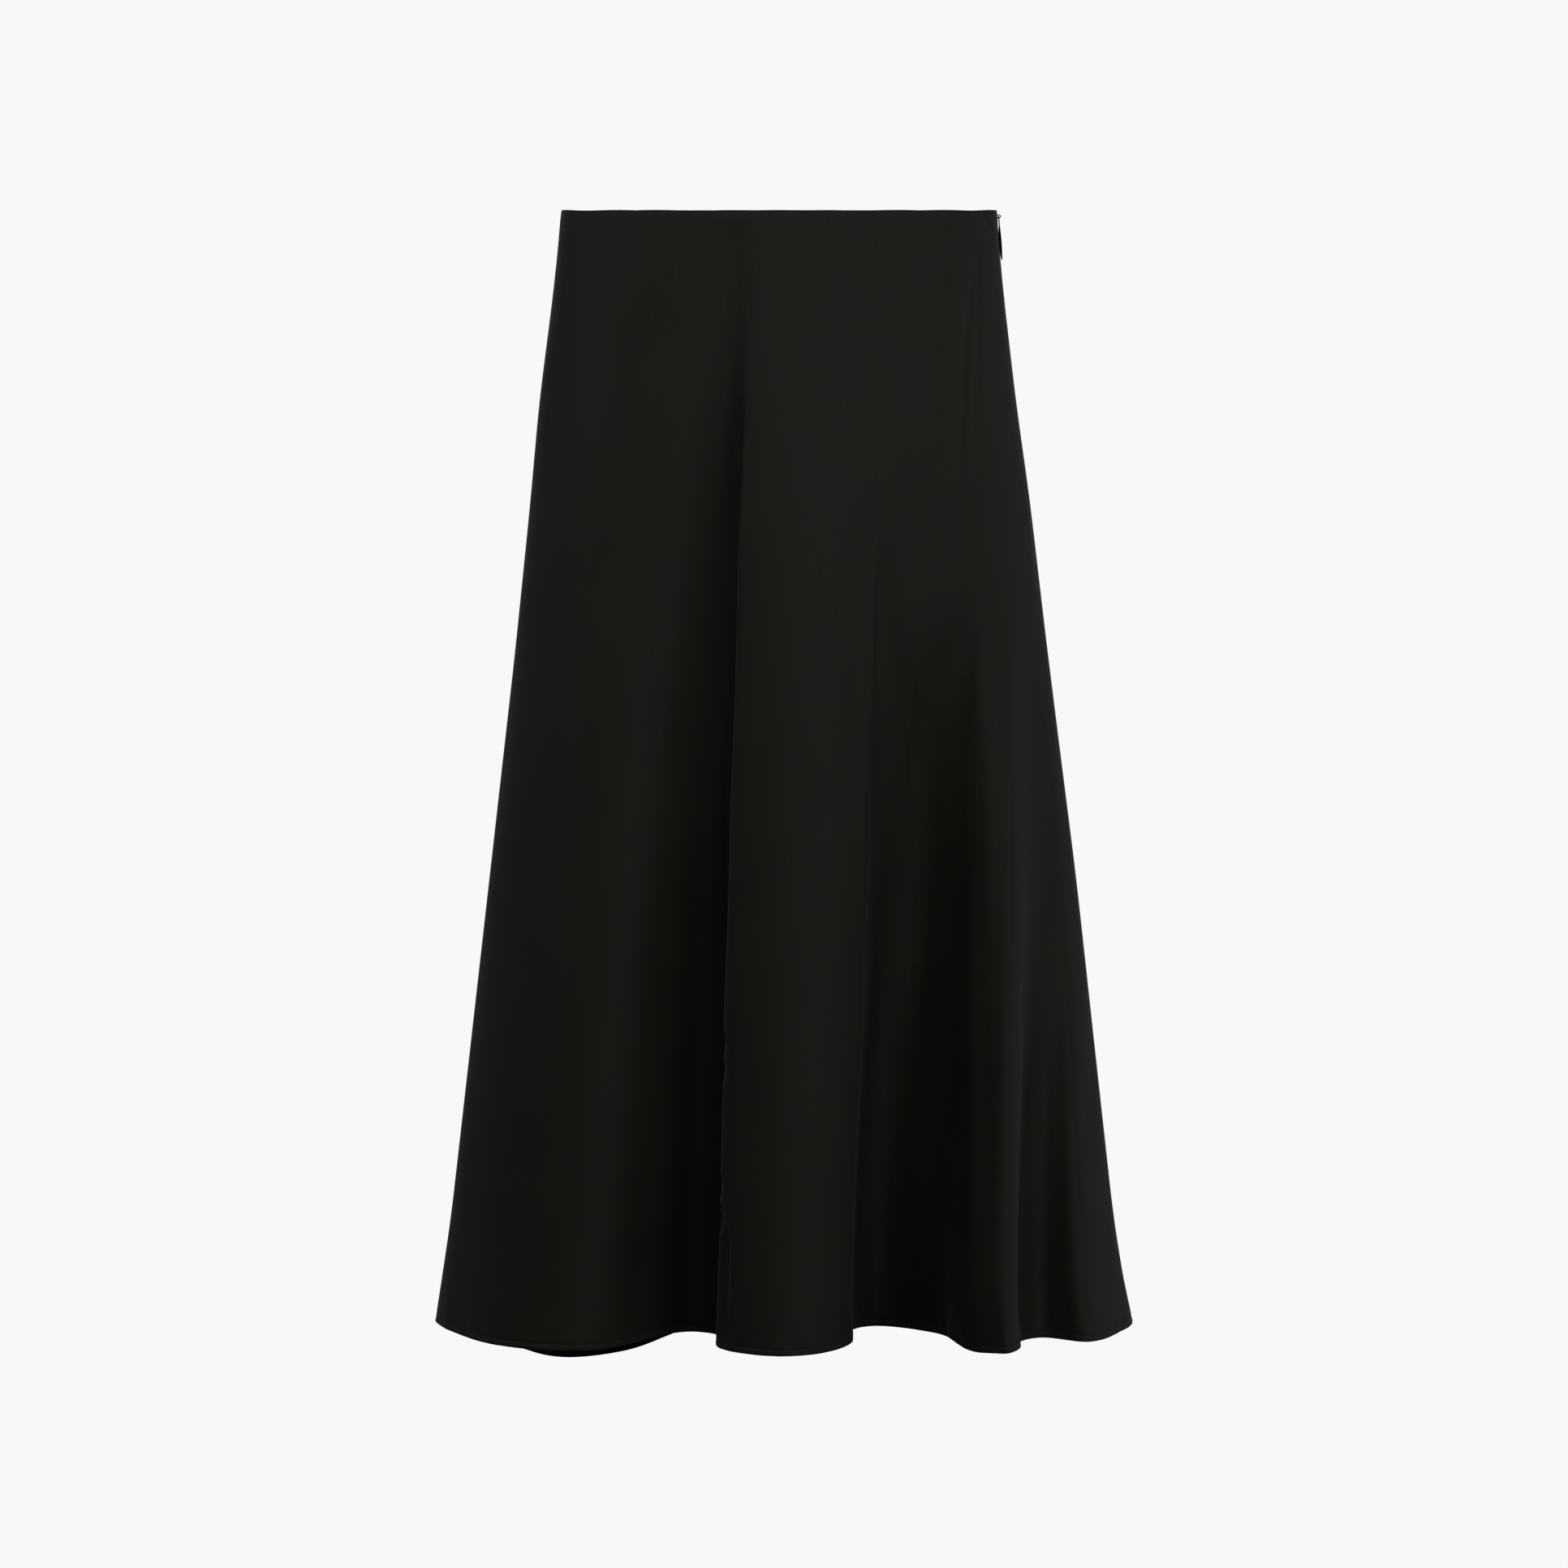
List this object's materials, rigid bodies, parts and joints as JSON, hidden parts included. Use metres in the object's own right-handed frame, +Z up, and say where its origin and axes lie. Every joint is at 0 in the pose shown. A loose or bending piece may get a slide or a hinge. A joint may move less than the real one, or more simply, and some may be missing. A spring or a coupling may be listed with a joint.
{
  "type": "a-line midi skirt",
  "caption": "Flared midi skirt in black satin, filled out as worn, with hanging flutes, a narrow turned hem and a concealed side zip whose pull swings.",
  "frame": {"origin": "middle of the waist opening, in the plane of its top edge, where the wearer's waist holds the skirt", "axes": "+Z up; the front of the skirt faces -Y; +X is the wearer's left side, where the zip is"},
  "size_m": [0.4795, 0.275, 0.8037],
  "materials": {
    "satin": "black satin weave with a soft, low sheen",
    "zip_tape": "black woven tape, matt",
    "zip_metal": "black lacquered zinc, satin"
  },
  "bodies": {
    "skirt": {"front_panel": "satin", "back_panel": "satin", "zip_tape_front": "zip_tape", "zip_tape_back": "zip_tape", "zip_slider": "zip_metal"},
    "zip_pull": {"zip_pull": "zip_metal"}
  },
  "joints": [
    {"name": "zip_pull_swing", "type": "hinge", "parent": "skirt", "child": "zip_pull", "pos_m": [0.14885, 0.00107, -0.0042], "axis": [0, -1, 0], "range_deg": [0, 165]}
  ]
}
